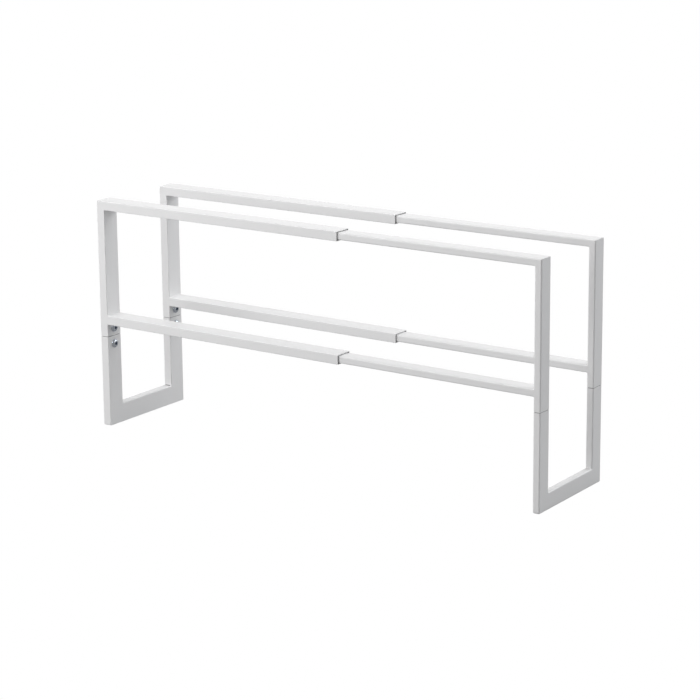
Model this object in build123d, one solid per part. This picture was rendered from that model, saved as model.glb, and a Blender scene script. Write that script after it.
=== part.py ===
from build123d import *
import math
import os
from dataclasses import dataclass

# Extendable two-tier open rail rack in rectangular steel tube.
# Millimetres. +X runs along the rails to the sliding end, +Y to the rear, +Z up.
# The origin is on the floor, under the middle of the rack at the extension it is stored at.

# Overall size
WIDTH = 658.0
DEPTH = 150.0
HEIGHT = 300.0
SEAM_Z = 120.0  # middle of the open seam between the bases and the end frames
SEAM_GAP = 0.6
LOWER_TIER_Z = 148.5  # top face of the larger lower rails
MOUTH_X = 50.0  # open ends of the larger rails
WALL = 0.8

# The smaller rails slide in the larger ones on a plastic glide at their hidden ends.
INNER_REACH = 364.0  # from the inner face of a right post to the end of its glide
GLIDE_HEAD = 6.0
GLIDE_SHANK = 12.0
GLIDE_PLAY = 0.1
SLIP = 0.05

# Joint inserts and M6 x 8 low-head screws with a hexagon socket
INSERT_HALF_LENGTH = 21.5
SCREW_FROM_SEAM = 10.6
HEAD_RADIUS = 5.7
HEAD_HEIGHT = 2.7
HEAD_RIM = 0.6
HEAD_FLAT_RADIUS = 3.4
HEAD_BULGE = 0.4
SOCKET_ACROSS_FLATS = 4.0
SOCKET_DEPTH = 2.0
THREAD_RADIUS = 3.0
THREAD_ROOT_RADIUS = 2.6
THREAD_PITCH = 1.0
THREAD_FLAT = THREAD_PITCH / 8
THREAD_TURNS = 7
THREAD_SLACK = 0.03
CLEARANCE_HOLE_RADIUS = 3.2

# Finish of the tube ends
SAWN_EDGE = 0.3
MOUTH_EDGE = 0.25
PLUG_CORNER = 1.2
PLUG_LEAD = 0.7

# Open root of the weld, where an inside corner of a base isn't dressed
ROOT_LENGTH = 8.0
ROOT_DEPTH = 0.4
ROOT_HEIGHT = 0.6

STOCK = 6.0  # length left on a tube for cutting, and by which a cut overruns it
NEAR = 0.005  # closer than this, two points are one


@dataclass
class Tube:
    """One tube size, and how it is finished where two tubes are welded."""

    wide: float
    thin: float
    edge: float  # radius of the tube's long edges
    foot: float  # radius of the ground lower corners of a base
    weld: float  # inside radius of a dressed weld, or nothing where it is crisp


@dataclass
class End:
    """One end of the rack: two tube frames standing on a U-shaped base."""

    name: str
    tube: Tube
    depth: float
    top: float
    lower: float
    rail_end: float  # from the outer face of the posts to the free end of the rails
    mirrored: bool


OUTER = Tube(wide=25.0, thin=12.0, edge=0.9, foot=1.2, weld=0.0)
INNER = Tube(wide=21.0, thin=9.0, edge=1.6, foot=2.0, weld=1.2)

SIDE_STEP = (OUTER.wide - INNER.wide) / 2
TOP_STEP = (OUTER.thin - INNER.thin) / 2

LEFT = End(
    name="left",
    tube=OUTER,
    depth=DEPTH,
    top=HEIGHT,
    lower=LOWER_TIER_Z,
    rail_end=MOUTH_X + WIDTH / 2,
    mirrored=False,
)
RIGHT = End(
    name="right",
    tube=INNER,
    depth=DEPTH - 2 * SIDE_STEP,
    top=HEIGHT - TOP_STEP,
    lower=LOWER_TIER_Z - TOP_STEP,
    rail_end=INNER.thin + INNER_REACH - GLIDE_HEAD,
    mirrored=True,
)
ROWS = {"front": -1, "rear": 1}


def block(x, y, z):
    """A box from three (low, high) pairs."""
    size = [high - low for low, high in (x, y, z)]
    middle = [(low + high) / 2 for low, high in (x, y, z)]
    return Pos(*middle) * Box(*size)


def prism(points, plane, half_length):
    """A polygon drawn on a plane and extruded both ways from it."""
    return extrude(plane * make_face(Polyline(*points, close=True)), half_length, both=True)


def outline(rectangles):
    """The union of rectangles, each given as (low, high) pairs across and up."""
    sketch = Sketch()
    for across, up in rectangles:
        size = (across[1] - across[0], up[1] - up[0])
        middle = (sum(across) / 2, sum(up) / 2)
        sketch += Pos(*middle) * Rectangle(*size)
    return sketch


def round_corners(sketch, corners, radius):
    """Rounds the corners of a sketch that lie at the given points."""
    if not radius:
        return sketch

    def is_wanted(vertex):
        return any(abs(vertex.X - x) < NEAR and abs(vertex.Y - y) < NEAR for x, y in corners)

    return fillet([v for v in sketch.vertices() if is_wanted(v)], radius)


def round_long_edges(part, axis, tube):
    """Rounds the edges round the two broad faces that stand square to an axis."""
    faces = part.faces().sort_by(axis)
    return fillet(faces[0].edges() + faces[-1].edges(), tube.edge)


def cavity(tube, plane, half_length):
    """The bore of a tube. The plane's x axis runs across the tube's wide side."""
    wide = tube.wide - 2 * WALL
    thin = tube.thin - 2 * WALL
    section = RectangleRounded(wide, thin, tube.edge - WALL)
    return extrude(plane * section, half_length, both=True)


def ease_end(part, axis, at_top, radius):
    """Breaks the outer edge of a cut tube end."""
    end = part.faces().sort_by(axis)[-1 if at_top else 0]
    return fillet(end.outer_wire().edges(), radius)


def frame_solid(end, y, post_stock=0.0, rail_stock=0.0):
    """The outside of one post with its two rails, as welded and dressed, with stock on the free ends.

    Stock at the mitred corner lets the post or the top rail run straight on past the cut.
    """
    tube = end.tube
    far = end.rail_end + STOCK
    post = ((0, tube.thin), (SEAM_Z - STOCK, end.top + post_stock))
    top_rail = ((-rail_stock, far), (end.top - tube.thin, end.top))
    lower_rail = ((0, far), (end.lower - tube.thin, end.lower))
    inside_heights = (end.top - tube.thin, end.lower, end.lower - tube.thin)
    inside_corners = [(tube.thin, z) for z in inside_heights]
    sketch = round_corners(outline([post, top_rail, lower_rail]), inside_corners, tube.weld)
    solid = extrude(Plane.XZ * sketch, tube.wide / 2, both=True)
    return Pos(0, y, 0) * round_long_edges(solid, Axis.Y, tube)


def top_rail_region(end, y):
    """The space beyond the mitre, which takes the top rail out of a frame."""
    thin = end.tube.thin
    far = end.rail_end
    overrun = 2 * STOCK
    points = [
        (-overrun, end.top + overrun),
        (thin + overrun, end.top - thin - overrun),
        (far, end.top - thin - overrun),
        (far, end.top + overrun),
    ]
    return Pos(0, y, 0) * prism(points, Plane.XZ, end.tube.wide)


def make_post(end, frame, y, screw):
    """Upright of an end frame, mitred at the top and open at the seam."""
    tube = end.tube
    deep = (y - tube.wide, y + tube.wide)
    beyond = (end.rail_end - STOCK, end.rail_end + 2 * STOCK)
    rails = block((tube.thin, end.rail_end), deep, (end.lower - 2 * tube.thin, end.lower + tube.thin))
    post = frame - top_rail_region(end, y) - rails
    post -= block(beyond, deep, (0, HEIGHT + STOCK))
    post -= block((-STOCK, 2 * tube.thin), deep, (0, SEAM_Z + SEAM_GAP / 2))
    post -= cavity(tube, upright(tube.thin / 2, y), HEIGHT + STOCK)
    post = ease_end(post, Axis.Z, False, SAWN_EDGE)
    return post - screw_hole(tube, y, screw)


def make_top_rail(end, frame, y):
    """Rail of the upper tier, mitred to its post."""
    tube = end.tube
    middle = end.top - tube.thin / 2
    rail = (frame & top_rail_region(end, y)) - cavity(tube, lengthwise(y, middle), 2 * WIDTH)
    return ease_end(rail, Axis.X, True, MOUTH_EDGE)


def make_lower_rail(end, frame, y):
    """Rail of the lower tier, welded square to the inner face of its post."""
    tube = end.tube
    deep = (y - tube.wide, y + tube.wide)
    height = (end.lower - 2 * tube.thin, end.lower + tube.thin)
    middle = end.lower - tube.thin / 2
    rail = frame & block((tube.thin, end.rail_end), deep, height)
    rail -= cavity(tube, lengthwise(y, middle), 2 * WIDTH)
    return ease_end(rail, Axis.X, True, MOUTH_EDGE)


def base_solid(end):
    """The outside of a U-shaped base, as welded and dressed, with stock above the seam."""
    tube = end.tube
    half = end.depth / 2
    high = SEAM_Z + STOCK
    front = ((-half, tube.wide - half), (0, high))
    rear = ((half - tube.wide, half), (0, high))
    bar = ((-half, half), (0, tube.wide))
    inside_corners = [(side * (half - tube.wide), tube.wide) for side in ROWS.values()]
    lower_corners = [(side * half, 0) for side in ROWS.values()]
    sketch = round_corners(outline([front, rear, bar]), inside_corners, tube.weld)
    sketch = round_corners(sketch, lower_corners, tube.foot)
    return round_long_edges(extrude(Plane.YZ * sketch, tube.thin), Axis.X, tube)


def bar_region(end):
    """The space between the two mitres, which takes the bottom bar out of a base."""
    half = end.depth / 2
    wide = end.tube.wide
    points = [
        (-half - STOCK, -STOCK),
        (half + STOCK, -STOCK),
        (half - wide - STOCK, wide + STOCK),
        (wide + STOCK - half, wide + STOCK),
    ]
    return prism(points, Plane.YZ, 2 * end.tube.thin)


def make_base_bar(end, base):
    """Bottom bar of a base, mitred at both ends, which stands on the floor."""
    tube = end.tube
    across = Plane((tube.thin / 2, 0, tube.wide / 2), x_dir=(0, 0, 1), z_dir=(0, 1, 0))
    return (base & bar_region(end)) - cavity(tube, across, DEPTH)


def make_leg(end, base, y, screw):
    """Leg of a base, mitred to the bottom bar and open at the seam."""
    tube = end.tube
    deep = (y - tube.wide, y + tube.wide)
    below_seam = block((-STOCK, 2 * tube.thin), deep, (-STOCK, SEAM_Z - SEAM_GAP / 2))
    leg = (base - bar_region(end)) & below_seam
    leg -= cavity(tube, upright(tube.thin / 2, y), HEIGHT)
    leg = ease_end(leg, Axis.Z, True, SAWN_EDGE)
    if not tube.weld:
        leg -= weld_root(tube, y)
    return leg - screw_hole(tube, y, screw)


def weld_root(tube, y):
    """A shallow slot in the inner face of a leg, just above the bottom bar."""
    inner = abs(y) - tube.wide / 2
    near, far = sorted(math.copysign(depth, y) for depth in (inner - STOCK, inner + ROOT_DEPTH))
    across = ((tube.thin - ROOT_LENGTH) / 2, (tube.thin + ROOT_LENGTH) / 2)
    return block(across, (near, far), (tube.wide, tube.wide + ROOT_HEIGHT))


def upright(x, y):
    """A plane across a vertical tube."""
    return Plane((x, y, 0), x_dir=(0, 1, 0), z_dir=(0, 0, 1))


def lengthwise(y, z):
    """A plane across a rail."""
    return Plane((0, y, z), x_dir=(0, 1, 0), z_dir=(1, 0, 0))


def inward_cylinder(radius, x, y, z):
    """A cylinder along X between two x positions."""
    middle = Pos(sum(x) / 2, y, z)
    return middle * Rot(0, 90, 0) * Cylinder(radius, x[1] - x[0])


def screw_hole(tube, y, z):
    """Clearance hole through the inner wall of a post or leg."""
    return inward_cylinder(CLEARANCE_HOLE_RADIUS, (tube.thin - 2 * WALL, tube.thin + WALL), y, z)


def make_insert(tube, y):
    """Steel bar inside a post and its leg, tapped for the two screws that hold them together."""
    wide = tube.wide - 2 * (WALL + GLIDE_PLAY)
    thin = tube.thin - 2 * (WALL + GLIDE_PLAY)
    section = upright(tube.thin / 2, y) * RectangleRounded(wide, thin, PLUG_CORNER)
    bar = Pos(0, 0, SEAM_Z) * extrude(section, INSERT_HALF_LENGTH, both=True)
    ends = bar.faces().sort_by(Axis.Z)
    bar = chamfer(ends[0].edges() + ends[-1].edges(), PLUG_LEAD)
    for z in (SEAM_Z - SCREW_FROM_SEAM, SEAM_Z + SCREW_FROM_SEAM):
        bar -= inward_cylinder(THREAD_RADIUS, (-STOCK, 2 * tube.thin), y, z)
    return bar


def screw_profile():
    """Half section of a low-head screw, head up, with its bearing face at zero."""
    low = (HEAD_RADIUS, HEAD_RIM)
    high = (HEAD_FLAT_RADIUS, HEAD_HEIGHT)
    chord = (HEAD_RADIUS - HEAD_FLAT_RADIUS, HEAD_HEIGHT - HEAD_RIM)
    length = (chord[0] ** 2 + chord[1] ** 2) ** 0.5
    bulge = (
        (low[0] + high[0]) / 2 + HEAD_BULGE * chord[1] / length,
        (low[1] + high[1]) / 2 + HEAD_BULGE * chord[0] / length,
    )
    crest = THREAD_RADIUS - THREAD_SLACK
    shank = [(crest, 0)]
    for turn in range(THREAD_TURNS):
        top = -turn * THREAD_PITCH
        root = (THREAD_ROOT_RADIUS, top - THREAD_PITCH / 2)
        shank += [(crest, top - THREAD_FLAT), root, (crest, top - THREAD_PITCH + THREAD_FLAT)]
    tip = -THREAD_TURNS * THREAD_PITCH
    shank += [(crest, tip), (THREAD_ROOT_RADIUS, tip - THREAD_PITCH / 2), (0, tip - THREAD_PITCH / 2)]
    wires = [
        Line((0, HEAD_HEIGHT), high),
        ThreePointArc(high, bulge, low),
        Line(low, (HEAD_RADIUS, 0)),
        Line((HEAD_RADIUS, 0), shank[0]),
        Polyline(*shank),
        Line(shank[-1], (0, HEAD_HEIGHT)),
    ]
    return make_face(wires)


def make_screw():
    """M6 x 8 low-head screw with a hexagon socket, head towards +Z."""
    screw = revolve(Plane.XZ * screw_profile(), Axis.Z)
    hexagon = RegularPolygon(SOCKET_ACROSS_FLATS / 2, 6, major_radius=False)
    socket = extrude(Pos(0, 0, HEAD_HEIGHT - SOCKET_DEPTH) * hexagon, STOCK)
    return screw - socket


def make_glide(tube, y, z, rail_end):
    """Plastic plug in the hidden end of a smaller rail, whose head runs inside the larger rail."""
    head_wide = OUTER.wide - 2 * (WALL + GLIDE_PLAY)
    head_thin = OUTER.thin - 2 * (WALL + GLIDE_PLAY)
    shank_wide = tube.wide - 2 * (WALL + SLIP)
    shank_thin = tube.thin - 2 * (WALL + SLIP)
    plane = Plane((rail_end, y, z), x_dir=(0, 1, 0), z_dir=(1, 0, 0))
    head = extrude(plane * RectangleRounded(head_wide, head_thin, PLUG_CORNER), GLIDE_HEAD)
    ends = head.faces().sort_by(Axis.X)
    head = chamfer(ends[-1].edges(), PLUG_LEAD)
    shank = extrude(plane * RectangleRounded(shank_wide, shank_thin, PLUG_CORNER), -GLIDE_SHANK)
    shank = chamfer(shank.faces().sort_by(Axis.X)[0].edges(), PLUG_LEAD)
    return head + shank


def place(end, shape):
    """Moves a shape from an end's own frame, where x is the distance in from its outer face."""
    if end.mirrored:
        return Pos(WIDTH / 2, 0, 0) * mirror(shape, about=Plane.YZ)
    return Pos(-WIDTH / 2, 0, 0) * shape


def make_end(end):
    """Every piece of one end of the rack, by name."""
    tube = end.tube
    pieces = {}
    base = base_solid(end)
    pieces["base_bar"] = make_base_bar(end, base)
    screw = make_screw()
    for row, side in ROWS.items():
        y = side * (end.depth - tube.wide) / 2
        heights = {"upper": SEAM_Z + SCREW_FROM_SEAM, "lower": SEAM_Z - SCREW_FROM_SEAM}
        post_frame = frame_solid(end, y, post_stock=STOCK)
        rail_frame = frame_solid(end, y, rail_stock=STOCK)
        pieces[f"{row}_post"] = make_post(end, post_frame, y, heights["upper"])
        pieces[f"{row}_top_rail"] = make_top_rail(end, rail_frame, y)
        pieces[f"{row}_lower_rail"] = make_lower_rail(end, rail_frame, y)
        pieces[f"{row}_leg"] = make_leg(end, base, y, heights["lower"])
        pieces[f"{row}_joint_insert"] = make_insert(tube, y)
        for level, z in heights.items():
            pieces[f"{row}_{level}_screw"] = Pos(tube.thin, y, z) * Rot(0, 90, 0) * screw
        if end.mirrored:
            for tier, top in (("top", end.top), ("lower", end.lower)):
                glide = make_glide(tube, y, top - tube.thin / 2, end.rail_end)
                pieces[f"{row}_{tier}_glide"] = glide
    return {f"{end.name}_{name}": place(end, shape) for name, shape in pieces.items()}


def main():
    os.makedirs("parts", exist_ok=True)
    for end in (LEFT, RIGHT):
        for name, shape in make_end(end).items():
            export_step(shape, f"parts/{name}.step")


main()
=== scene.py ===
import math

import bpy
from mathutils import Matrix, Vector


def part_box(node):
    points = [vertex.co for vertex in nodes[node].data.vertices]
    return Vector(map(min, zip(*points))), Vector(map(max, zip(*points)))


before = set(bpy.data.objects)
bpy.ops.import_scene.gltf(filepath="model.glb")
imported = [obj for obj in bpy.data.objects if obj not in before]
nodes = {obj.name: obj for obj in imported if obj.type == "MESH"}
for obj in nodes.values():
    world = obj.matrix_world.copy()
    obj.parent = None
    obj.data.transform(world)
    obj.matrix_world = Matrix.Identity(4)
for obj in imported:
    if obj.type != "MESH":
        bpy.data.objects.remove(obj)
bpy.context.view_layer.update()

# ---- Camera: distances in metres, turns in degrees, lens and sensor in millimetres ----
CAMERA_PLACE = (1.465, -2.059, 0.789)
CAMERA_AZIMUTH = 35.12
CAMERA_ELEVATION = 11.85
CAMERA_ROLL = -0.5
CAMERA_LENS = 107.7
CAMERA_SHIFT_Y = -0.143
SENSOR_WIDTH = 36.0
CLIP_END = 60.0

# ---- Tube walls, in metres, for telling the bare bore, dark with painted shade, from the coated outside ----
WALL = 0.0008
OVERSPRAY = 0.0005

# ---- Screws, in metres ----
# Radius of the painted shade in each screw's socket
SOCKET_SHADE_RADIUS = 0.0022

# ---- Open weld root at the foot of a left leg, dark with painted shade, in metres ----
ROOT_LENGTH = 0.008
ROOT_DEPTH = 0.0004
ROOT_HEIGHT = 0.0006
ROOT_MARGIN = 0.0001  # by which its shade reaches past its walls

# ---- Colours, linear ----
COAT_WHITE = (0.808, 0.805, 0.809)
ZINC = (0.66, 0.70, 0.76)
# Painted shade in a screw's socket, a dark navy grey
SOCKET_SHADE_GREY = (0.30, 0.34, 0.42)
# Painted shade in the open weld root of a left leg
ROOT_SHADE_GREY = (0.20, 0.20, 0.205)
# Steel of the joint inserts, made dark so that the seams between the tubes show painted shade
INSERT_STEEL_AS_SEAM_SHADE = (0.06, 0.06, 0.065)
# Bare steel in a rail's bore, dark with painted shade
BARE_STEEL_AND_SHADE = (0.03, 0.03, 0.031)
NYLON = (0.02, 0.02, 0.022)
FLOOR_GREY = (0.30, 0.30, 0.30)

# ---- Roughness, from the glossiest to the dullest patch where it varies ----
COAT_ROUGHNESS = (0.19, 0.26)
ZINC_ROUGHNESS = (0.16, 0.26)
INSERT_ROUGHNESS = (0.3, 0.5)
NYLON_ROUGHNESS = (0.45, 0.6)
FLOOR_ROUGHNESS = 0.9

# ---- Surface relief: noise scale, then strength, then height in metres ----
ORANGE_PEEL = (260.0, 0.02, 0.00003)
FINE_MARKS = (2500.0, 0.1, 0.00002)

# ---- Stage, in metres, and its light ----
MIDDLE = (0.0, 0.0, 0.15)  # the point that the lights face
FLOOR_SIZE = 40.0
ROOM_LIGHT = 0.15
COOL = (0.97, 0.985, 1.0)  # colour of a slightly blue light


# ---- Small helpers for node materials ----
class Shader:
    """A node material under construction, with one Principled shader."""

    def __init__(self, name):
        self.material = bpy.data.materials.new(name)
        self.material.use_nodes = True
        self.tree = self.material.node_tree
        self.tree.nodes.clear()
        self.out = self.tree.nodes.new("ShaderNodeOutputMaterial")
        self.bsdf = self.tree.nodes.new("ShaderNodeBsdfPrincipled")
        self.tree.links.new(self.bsdf.outputs["BSDF"], self.out.inputs["Surface"])
        self.coords = self.tree.nodes.new("ShaderNodeTexCoord").outputs["Object"]

    def link(self, source, target):
        self.tree.links.new(source, target)

    def noise(self, scale, detail=2.0, roughness=0.5):
        node = self.tree.nodes.new("ShaderNodeTexNoise")
        node.inputs["Scale"].default_value = scale
        node.inputs["Detail"].default_value = detail
        node.inputs["Roughness"].default_value = roughness
        self.link(self.coords, node.inputs["Vector"])
        return node.outputs["Fac"]

    def place(self):
        """The three coordinates of the shaded point, in metres."""
        node = self.tree.nodes.new("ShaderNodeSeparateXYZ")
        self.link(self.coords, node.inputs["Vector"])
        return node.outputs

    def spread(self, source, low, high, start=0.3, end=0.7):
        """Stretches a 0 to 1 value between two levels."""
        node = self.tree.nodes.new("ShaderNodeMapRange")
        limits = {"From Min": start, "From Max": end, "To Min": low, "To Max": high}
        for name, value in limits.items():
            node.inputs[name].default_value = value
        self.link(source, node.inputs["Value"])
        return node.outputs["Result"]

    def mix(self, factor, first, second):
        """Mixes two colours, each a colour or another node's output."""
        node = self.tree.nodes.new("ShaderNodeMix")
        node.data_type = "RGBA"
        self.link(factor, node.inputs["Factor"])
        for socket, value in ((node.inputs[6], first), (node.inputs[7], second)):
            if isinstance(value, tuple):
                socket.default_value = (*value, 1.0)
            else:
                self.link(value, socket)
        return node.outputs[2]

    def math(self, operation, first, second):
        node = self.tree.nodes.new("ShaderNodeMath")
        node.operation = operation
        for socket, value in zip(node.inputs, (first, second)):
            if isinstance(value, (int, float)):
                socket.default_value = value
            else:
                self.link(value, socket)
        return node.outputs[0]

    def square_sum(self, first, second):
        squares = (self.math("MULTIPLY", value, value) for value in (first, second))
        return self.math("ADD", *squares)

    def bump(self, height, strength, distance):
        node = self.tree.nodes.new("ShaderNodeBump")
        node.inputs["Strength"].default_value = strength
        node.inputs["Distance"].default_value = distance
        self.link(height, node.inputs["Height"])
        self.link(node.outputs["Normal"], self.bsdf.inputs["Normal"])


def scaled(colour, factor):
    return tuple(channel * factor for channel in colour)


def coat_tone(shader):
    """Slight drifts of tone over the paint."""
    drift = shader.noise(9.0, detail=3.0)
    return shader.mix(drift, scaled(COAT_WHITE, 0.985), COAT_WHITE)


def coat_gloss(shader):
    """Satin gloss that varies a little, over a faint orange peel."""
    scale, strength, height = ORANGE_PEEL
    shader.bump(shader.noise(scale, detail=1.0), strength, height)
    return shader.spread(shader.noise(60.0), *COAT_ROUGHNESS)


def finish_surface(shader, colour, roughness):
    """Links a colour and a roughness to the shader, and returns the material."""
    shader.link(colour, shader.bsdf.inputs["Base Color"])
    shader.link(roughness, shader.bsdf.inputs["Roughness"])
    return shader.material


def powder_coat(name):
    """Satin white powder coat."""
    shader = Shader(name)
    return finish_surface(shader, coat_tone(shader), coat_gloss(shader))


def within(shader, coordinate, middle, half):
    """One where a coordinate is less than half a width from the middle, and zero elsewhere."""
    offset = shader.math("ABSOLUTE", shader.math("SUBTRACT", coordinate, middle), 0.0)
    return shader.math("LESS_THAN", offset, half)


def coated_rail(name, rail):
    """Powder coat on an open-ended rail, whose bore is bare steel with painted shade past a
    little overspray.
    """
    low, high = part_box(rail)
    shader = Shader(name)
    x, y, z = shader.place()
    middle = (low + high) / 2
    bore_half = (high - low) / 2 - Vector((0.0, WALL, WALL))
    in_width = within(shader, shader.math("ABSOLUTE", y, 0.0), abs(middle.y), bore_half.y)
    in_height = within(shader, z, middle.z, bore_half.z)
    bore = shader.math("MULTIPLY", in_width, in_height)
    bare_and_shade = shader.spread(x, 1.0, 0.0, high.x - OVERSPRAY, high.x)
    bare_and_shade = shader.math("MULTIPLY", bore, bare_and_shade)
    # The bore is bare steel, darkened further as painted shade
    steel_and_shade = shader.mix(shader.noise(120.0), scaled(BARE_STEEL_AND_SHADE, 0.7), BARE_STEEL_AND_SHADE)
    colour = shader.mix(bare_and_shade, coat_tone(shader), steel_and_shade)
    return finish_surface(shader, colour, coat_gloss(shader))


def coated_leg():
    """Powder coat on a left leg, with painted shade in the open weld root at its foot."""
    low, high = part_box("left_front_leg")
    bar_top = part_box("left_base_bar")[1].z
    shader = Shader("white_powder_coat_leg")
    x, y, z = shader.place()
    root_shade = within(shader, x, (low.x + high.x) / 2, ROOT_LENGTH / 2 + ROOT_MARGIN)
    sides = (
        (shader.math("ABSOLUTE", y, 0.0), abs(high.y), ROOT_DEPTH),
        (z, bar_top, ROOT_HEIGHT),
    )
    for coordinate, start, size in sides:
        inside = within(shader, coordinate, start + size / 2, size / 2 + ROOT_MARGIN)
        root_shade = shader.math("MULTIPLY", root_shade, inside)
    # The weld root is painted dark grey as its shade
    colour = shader.mix(root_shade, coat_tone(shader), ROOT_SHADE_GREY)
    return finish_surface(shader, colour, coat_gloss(shader))


def zinc_plate(name, screw):
    """Bright zinc plate with fine marks, and painted shade in the socket of a screw and its
    mirror image.
    """
    low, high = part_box(screw)
    middle = (low + high) / 2
    shader = Shader(name)
    _, y, z = shader.place()
    across = shader.math("SUBTRACT", shader.math("ABSOLUTE", y, 0.0), abs(middle.y))
    up = shader.math("SUBTRACT", z, middle.z)
    radius = shader.math("POWER", shader.square_sum(across, up), 0.5)
    # The socket is painted dark grey as its shade
    socket = shader.math("LESS_THAN", radius, SOCKET_SHADE_RADIUS)
    plate = shader.mix(shader.noise(400.0), scaled(ZINC, 0.9), ZINC)
    shader.bsdf.inputs["Metallic"].default_value = 1.0
    scale, strength, height = FINE_MARKS
    shader.bump(shader.noise(scale), strength, height)
    roughness = shader.spread(shader.noise(900.0), *ZINC_ROUGHNESS)
    return finish_surface(shader, shader.mix(socket, plate, SOCKET_SHADE_GREY), roughness)


def grained(name, colour, tone_scale, gloss_scale, roughness, metallic=0.0):
    """A plain material whose tone and gloss both vary a little."""
    shader = Shader(name)
    shader.bsdf.inputs["Metallic"].default_value = metallic
    tone = shader.mix(shader.noise(tone_scale), scaled(colour, 0.8), colour)
    return finish_surface(shader, tone, shader.spread(shader.noise(gloss_scale), *roughness))


def dress(node, material):
    """Gives a CAD node one material."""
    mesh = nodes[node].data
    mesh.materials.clear()
    mesh.materials.append(material)


def dress_all():
    coat = powder_coat("white_powder_coat")
    leg_coat = coated_leg()
    # The inserts are dark steel, a painted shade for the seams they show through
    steel_and_shade = grained("insert_steel_seam_shade", INSERT_STEEL_AS_SEAM_SHADE, 150.0, 500.0, INSERT_ROUGHNESS, metallic=1.0)
    plastic = grained("nylon", NYLON, 200.0, 600.0, NYLON_ROUGHNESS)
    zinc = {}
    for level in ("upper", "lower"):
        zinc[level] = zinc_plate(f"zinc_plate_{level}", f"left_front_{level}_screw")
    rail_coat = {}
    for tier in ("top", "lower"):
        rail_coat[tier] = coated_rail(f"white_powder_coat_{tier}_rail", f"left_front_{tier}_rail")
    for name in nodes:
        level, kind = name.split("_")[-2:]
        if kind == "screw":
            dress(name, zinc[level])
        elif kind == "insert":
            dress(name, steel_and_shade)
        elif kind == "glide":
            dress(name, plastic)
        elif kind == "rail" and name.startswith("left"):
            dress(name, rail_coat[level])
        elif kind == "leg" and name.startswith("left"):
            dress(name, leg_coat)
        else:
            dress(name, coat)


# ---- Studio ----
def make_floor():
    """A floor that is pure white to the camera and bounces only a little light."""
    bpy.ops.mesh.primitive_plane_add(size=FLOOR_SIZE)
    floor = bpy.context.object
    floor.name = "floor"
    shader = Shader("floor_white")
    shader.bsdf.inputs["Base Color"].default_value = (*FLOOR_GREY, 1.0)
    shader.bsdf.inputs["Roughness"].default_value = FLOOR_ROUGHNESS
    path = shader.tree.nodes.new("ShaderNodeLightPath")
    glow = shader.tree.nodes.new("ShaderNodeEmission")
    either = shader.tree.nodes.new("ShaderNodeMixShader")
    shader.link(path.outputs["Is Camera Ray"], either.inputs["Fac"])
    shader.link(shader.bsdf.outputs["BSDF"], either.inputs[1])
    shader.link(glow.outputs["Emission"], either.inputs[2])
    shader.link(either.outputs["Shader"], shader.out.inputs["Surface"])
    floor.data.materials.append(shader.material)


def aim(thing, place, target):
    thing.location = place
    direction = Vector(target) - Vector(place)
    thing.rotation_mode = "QUATERNION"
    thing.rotation_quaternion = direction.to_track_quat("-Z", "Y")


def softbox(name, place, size, power, colour=(1.0, 1.0, 1.0)):
    """A rectangular light that faces the rack and stays out of the picture itself."""
    lamp = bpy.data.lights.new(name, "AREA")
    lamp.shape = "RECTANGLE"
    lamp.size, lamp.size_y = size
    lamp.energy = power
    lamp.color = colour
    thing = bpy.data.objects.new(name, lamp)
    bpy.context.scene.collection.objects.link(thing)
    aim(thing, place, MIDDLE)
    thing.visible_camera = False


def make_world():
    """A dim even room, which the camera sees as a white background."""
    world = bpy.data.worlds.new("studio")
    bpy.context.scene.world = world
    world.use_nodes = True
    tree = world.node_tree
    background = tree.nodes["Background"]
    background.inputs["Color"].default_value = (1.0, 1.0, 1.0, 1.0)
    path = tree.nodes.new("ShaderNodeLightPath")
    strength = tree.nodes.new("ShaderNodeMapRange")
    strength.inputs["To Min"].default_value = ROOM_LIGHT
    tree.links.new(path.outputs["Is Camera Ray"], strength.inputs["Value"])
    tree.links.new(strength.outputs["Result"], background.inputs["Strength"])


def around(azimuth, elevation, distance):
    """A place round the rack. Azimuth runs from the front towards the right, in degrees."""
    turn = math.radians(azimuth)
    lift = math.radians(elevation)
    flat = distance * math.cos(lift)
    return (flat * math.sin(turn), -flat * math.cos(turn), MIDDLE[2] + distance * math.sin(lift))


def make_lights():
    make_world()
    softbox("key", around(-40.0, 20.0, 2.2), (1.4, 1.4), 25.0)
    softbox("fill", around(0.0, 30.0, 2.2), (1.4, 1.4), 14.5)
    softbox("right_wall", around(135.0, 12.0, 3.2), (3.5, 2.4), 70.0, COOL)
    softbox("rear_high", around(150.0, 55.0, 2.0), (1.2, 1.2), 12.0)
    softbox("rear_low", around(-145.0, 10.0, 3.0), (3.0, 1.6), 12.0)
    softbox("overhead", (-0.1, 0.1, 1.3), (1.2, 0.9), 4.5)


def make_camera():
    lens = bpy.data.cameras.new("camera")
    lens.lens = CAMERA_LENS
    lens.sensor_width = SENSOR_WIDTH
    lens.shift_y = CAMERA_SHIFT_Y
    lens.clip_end = CLIP_END
    camera = bpy.data.objects.new("camera", lens)
    bpy.context.scene.collection.objects.link(camera)
    turn = Matrix.Rotation(math.radians(CAMERA_AZIMUTH), 4, "Z")
    tip = Matrix.Rotation(math.radians(90.0 - CAMERA_ELEVATION), 4, "X")
    roll = Matrix.Rotation(math.radians(CAMERA_ROLL), 4, "Z")
    camera.matrix_world = Matrix.Translation(CAMERA_PLACE) @ turn @ tip @ roll
    bpy.context.scene.camera = camera


bpy.context.scene.view_settings.view_transform = "Standard"
make_camera()
dress_all()
make_floor()
make_lights()
